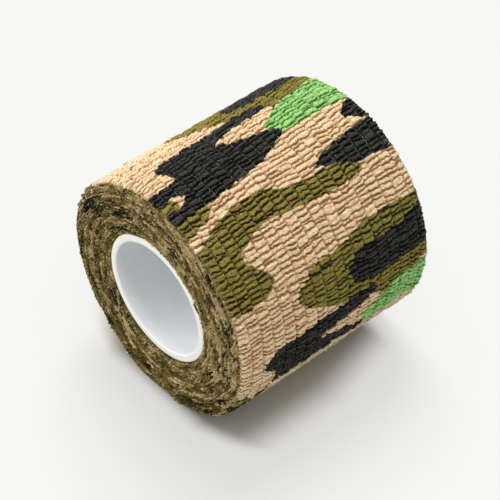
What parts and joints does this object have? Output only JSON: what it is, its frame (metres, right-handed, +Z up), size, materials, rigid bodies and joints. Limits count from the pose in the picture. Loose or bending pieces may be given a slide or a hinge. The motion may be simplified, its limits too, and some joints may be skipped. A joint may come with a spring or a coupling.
{
  "type": "cohesive wrap tape roll",
  "caption": "Roll of camouflage-print stretch crepe wrap tape on a white plastic core, with a free end that peels off the roll.",
  "frame": {"origin": "middle of the core, on the winding axis", "axes": "+Y along the winding axis, +Z up with the roll resting on its side, +X to the right seen from the -Y end"},
  "size_m": [0.0525, 0.05, 0.0517],
  "materials": {
    "crepe_fabric": "matt puckered crepe, printed in tan, olive, green and black camouflage",
    "elastic_thread": "satin",
    "core_plastic": "smooth satin"
  },
  "bodies": {
    "roll": {"core_tube": "core_plastic", "wound_web": "crepe_fabric", "outer_turn": "crepe_fabric", "elastic_thread_01": "elastic_thread", "elastic_thread_02": "elastic_thread", "elastic_thread_03": "elastic_thread", "elastic_thread_04": "elastic_thread", "elastic_thread_05": "elastic_thread", "elastic_thread_06": "elastic_thread", "elastic_thread_07": "elastic_thread", "elastic_thread_08": "elastic_thread", "elastic_thread_09": "elastic_thread", "elastic_thread_10": "elastic_thread", "elastic_thread_11": "elastic_thread", "elastic_thread_12": "elastic_thread", "elastic_thread_13": "elastic_thread", "elastic_thread_14": "elastic_thread", "elastic_thread_15": "elastic_thread", "elastic_thread_16": "elastic_thread", "elastic_thread_17": "elastic_thread"},
    "tail_1": {"tail_link_1": "crepe_fabric"},
    "tail_2": {"tail_link_2": "crepe_fabric"},
    "tail_3": {"tail_link_3": "crepe_fabric"},
    "tail_4": {"tail_link_4": "crepe_fabric"},
    "tail_5": {"tail_link_5": "crepe_fabric"},
    "tail_6": {"tail_link_6": "crepe_fabric"},
    "tail_7": {"tail_link_7": "crepe_fabric"},
    "tail_8": {"tail_link_8": "crepe_fabric"}
  },
  "joints": [
    {"name": "peel", "type": "hinge", "parent": "roll", "child": "tail_1", "pos_m": [-0.02264, 0, 0.01307], "axis": [0, 1, 0], "range_deg": [0, 24]},
    {"name": "tail_bend_2", "type": "hinge", "parent": "tail_1", "child": "tail_2", "pos_m": [-0.02442, 0, 0.00937], "axis": [0, 1, 0], "range_deg": [0, 10]},
    {"name": "tail_bend_3", "type": "hinge", "parent": "tail_2", "child": "tail_3", "pos_m": [-0.0256, 0, 0.00544], "axis": [0, 1, 0], "range_deg": [0, 10]},
    {"name": "tail_bend_4", "type": "hinge", "parent": "tail_3", "child": "tail_4", "pos_m": [-0.02615, 0, 0.00137], "axis": [0, 1, 0], "range_deg": [0, 10]},
    {"name": "tail_bend_5", "type": "hinge", "parent": "tail_4", "child": "tail_5", "pos_m": [-0.02606, 0, -0.00274], "axis": [0, 1, 0], "range_deg": [0, 10]},
    {"name": "tail_bend_6", "type": "hinge", "parent": "tail_5", "child": "tail_6", "pos_m": [-0.02533, 0, -0.00679], "axis": [0, 1, 0], "range_deg": [0, 10]},
    {"name": "tail_bend_7", "type": "hinge", "parent": "tail_6", "child": "tail_7", "pos_m": [-0.02397, 0, -0.01067], "axis": [0, 1, 0], "range_deg": [0, 10]},
    {"name": "tail_bend_8", "type": "hinge", "parent": "tail_7", "child": "tail_8", "pos_m": [-0.02202, 0, -0.0143], "axis": [0, 1, 0], "range_deg": [0, 10]}
  ],
  "couplings": [
    {"joint": "tail_bend_2", "follows": "peel", "ratio": 0.4},
    {"joint": "tail_bend_3", "follows": "peel", "ratio": 0.4},
    {"joint": "tail_bend_4", "follows": "peel", "ratio": 0.4},
    {"joint": "tail_bend_5", "follows": "peel", "ratio": 0.4},
    {"joint": "tail_bend_6", "follows": "peel", "ratio": 0.4},
    {"joint": "tail_bend_7", "follows": "peel", "ratio": 0.4},
    {"joint": "tail_bend_8", "follows": "peel", "ratio": 0.4}
  ]
}
